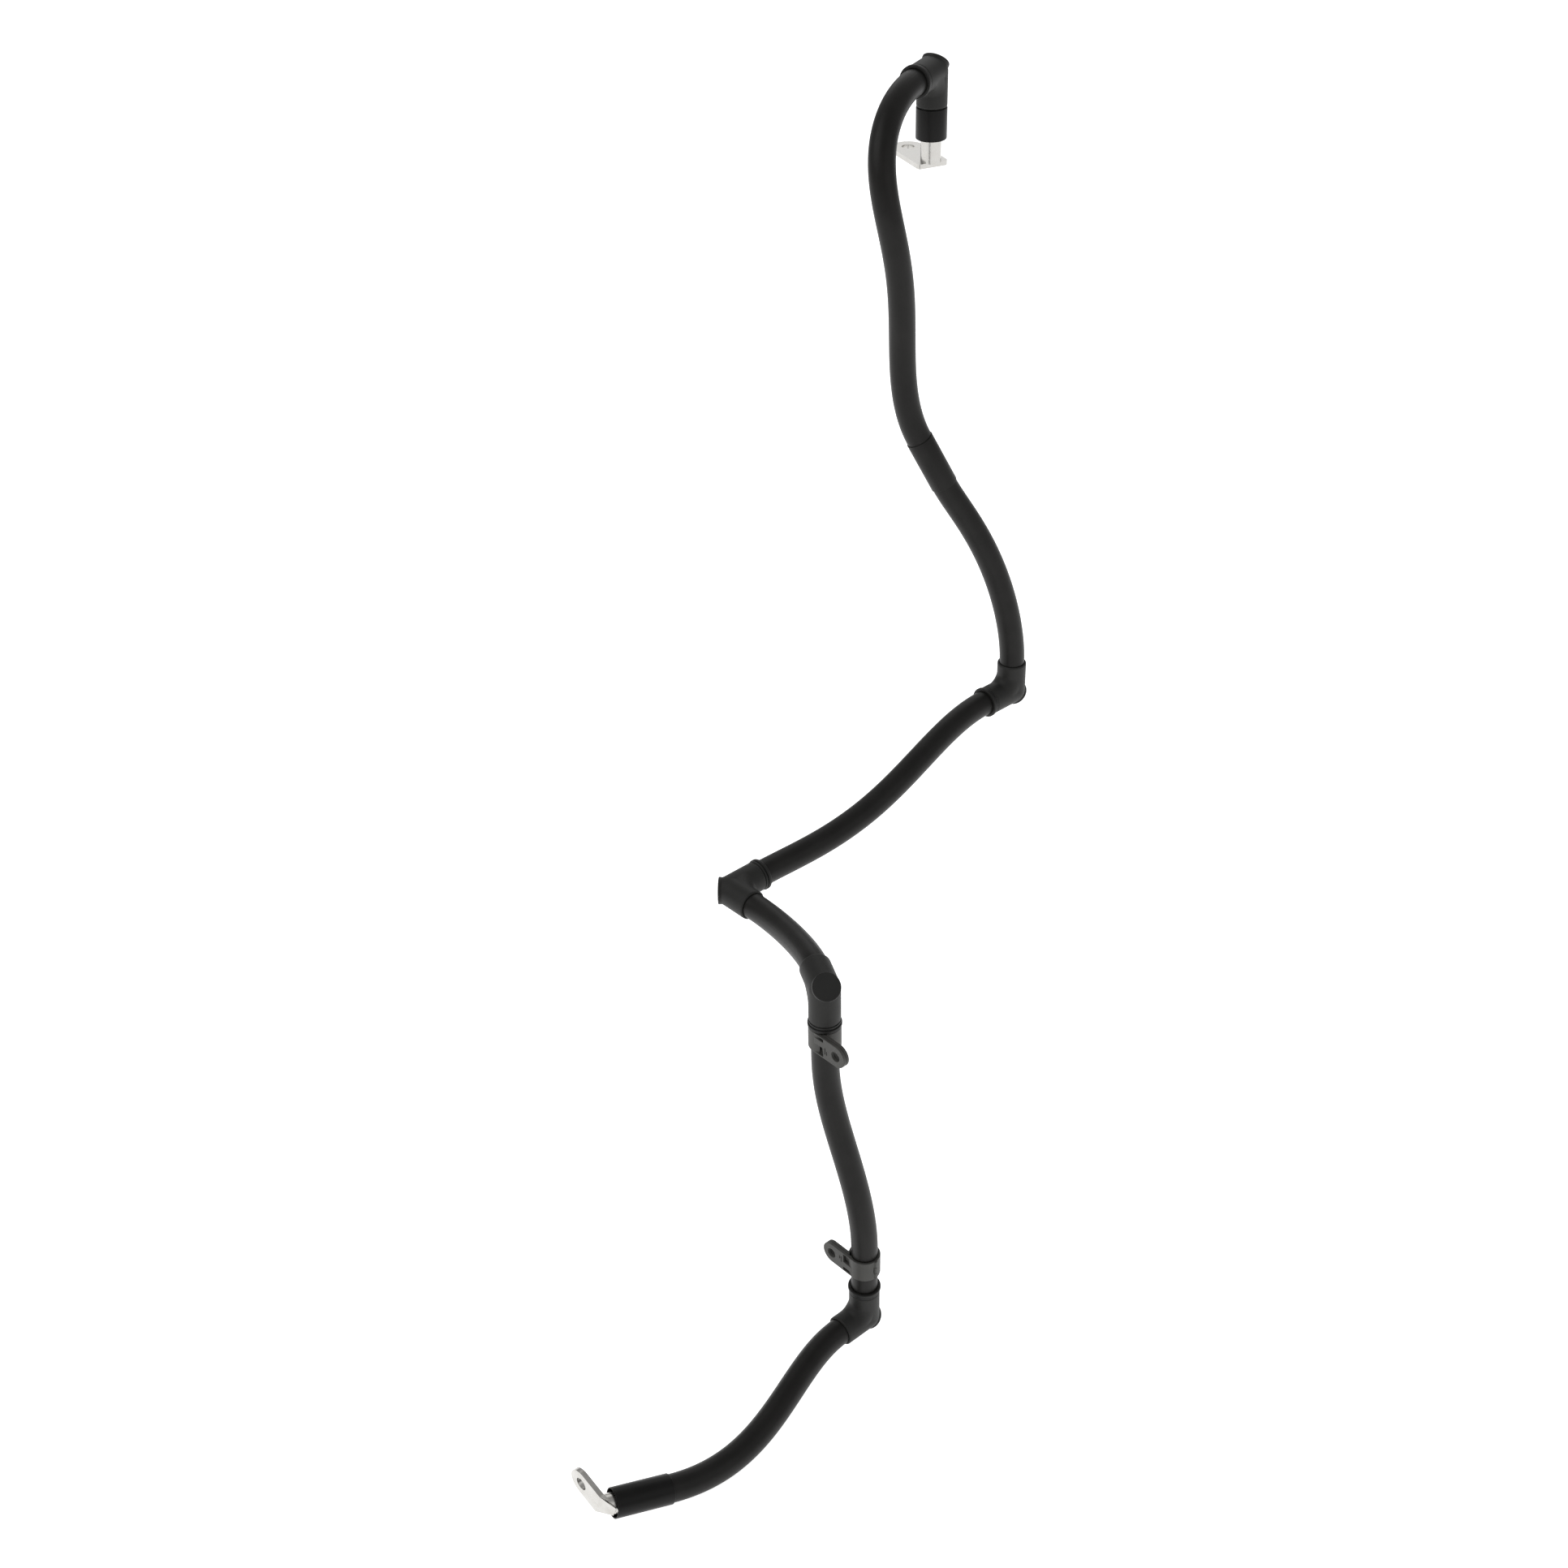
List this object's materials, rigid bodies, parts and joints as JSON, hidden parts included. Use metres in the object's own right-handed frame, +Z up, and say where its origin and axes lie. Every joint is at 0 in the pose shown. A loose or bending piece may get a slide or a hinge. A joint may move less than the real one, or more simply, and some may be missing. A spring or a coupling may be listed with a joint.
{
  "type": "heavy battery cable",
  "caption": "Heavy vehicle power cable in smooth black hose, turned round moulded elbows, with pipe clips that open and a tinned ring lug at each end.",
  "frame": {"origin": "centre of the upper lug's bolt hole, on the palm's seating face", "axes": "+Z up, along the upper bolt hole away from its seat; -X and +Y are level, and the lower lug's hole runs along -Y"},
  "size_m": [0.4094, 0.6855, 0.9057],
  "materials": {
    "copper": "bright",
    "jacket": "matt",
    "hose": "satin",
    "sleeve": "satin",
    "elbow": "fine texture",
    "lock_ring": "fine texture",
    "tin": "tin plated",
    "clip": "satin"
  },
  "bodies": {
    "cable": {"conductor": "copper", "cable_jacket": "jacket", "hose_1": "hose", "hose_2": "hose", "hose_3": "hose", "hose_4": "hose", "hose_5": "hose", "hose_6": "hose", "hose_7": "hose", "joint_sleeve": "sleeve", "end_sleeve_upper": "sleeve", "end_sleeve_lower": "sleeve", "elbow_1": "elbow", "elbow_2": "elbow", "elbow_3": "elbow", "elbow_4": "elbow", "elbow_5": "elbow", "corner_plug_1": "elbow", "corner_plug_2": "elbow", "corner_plug_3": "elbow", "corner_plug_4": "elbow", "corner_plug_5": "elbow", "lock_ring_1": "lock_ring", "lock_ring_2": "lock_ring", "lock_ring_3": "lock_ring", "lock_ring_4": "lock_ring", "lock_ring_5": "lock_ring", "lug_upper": "tin", "lug_lower": "tin"},
    "upper_clip": {"clip_upper_base": "clip"},
    "upper_strap": {"clip_upper_strap": "clip"},
    "lower_clip": {"clip_lower_base": "clip"},
    "lower_strap": {"clip_lower_strap": "clip"}
  },
  "joints": [
    {"name": "upper_clip_swivel", "type": "hinge", "parent": "cable", "child": "upper_clip", "pos_m": [0.32004, -0.39936, -0.512], "axis": [0, 0, 1], "continuous": true},
    {"name": "upper_clip_open", "type": "hinge", "parent": "upper_clip", "child": "upper_strap", "pos_m": [0.30741, -0.39936, -0.512], "axis": [0, 0, -1], "range_deg": [0, 100]},
    {"name": "lower_clip_swivel", "type": "hinge", "parent": "cable", "child": "lower_clip", "pos_m": [0.35504, -0.39036, -0.734], "axis": [0, 0, 1], "continuous": true},
    {"name": "lower_clip_open", "type": "hinge", "parent": "lower_clip", "child": "lower_strap", "pos_m": [0.36767, -0.39036, -0.734], "axis": [0, 0, 1], "range_deg": [0, 100]}
  ]
}
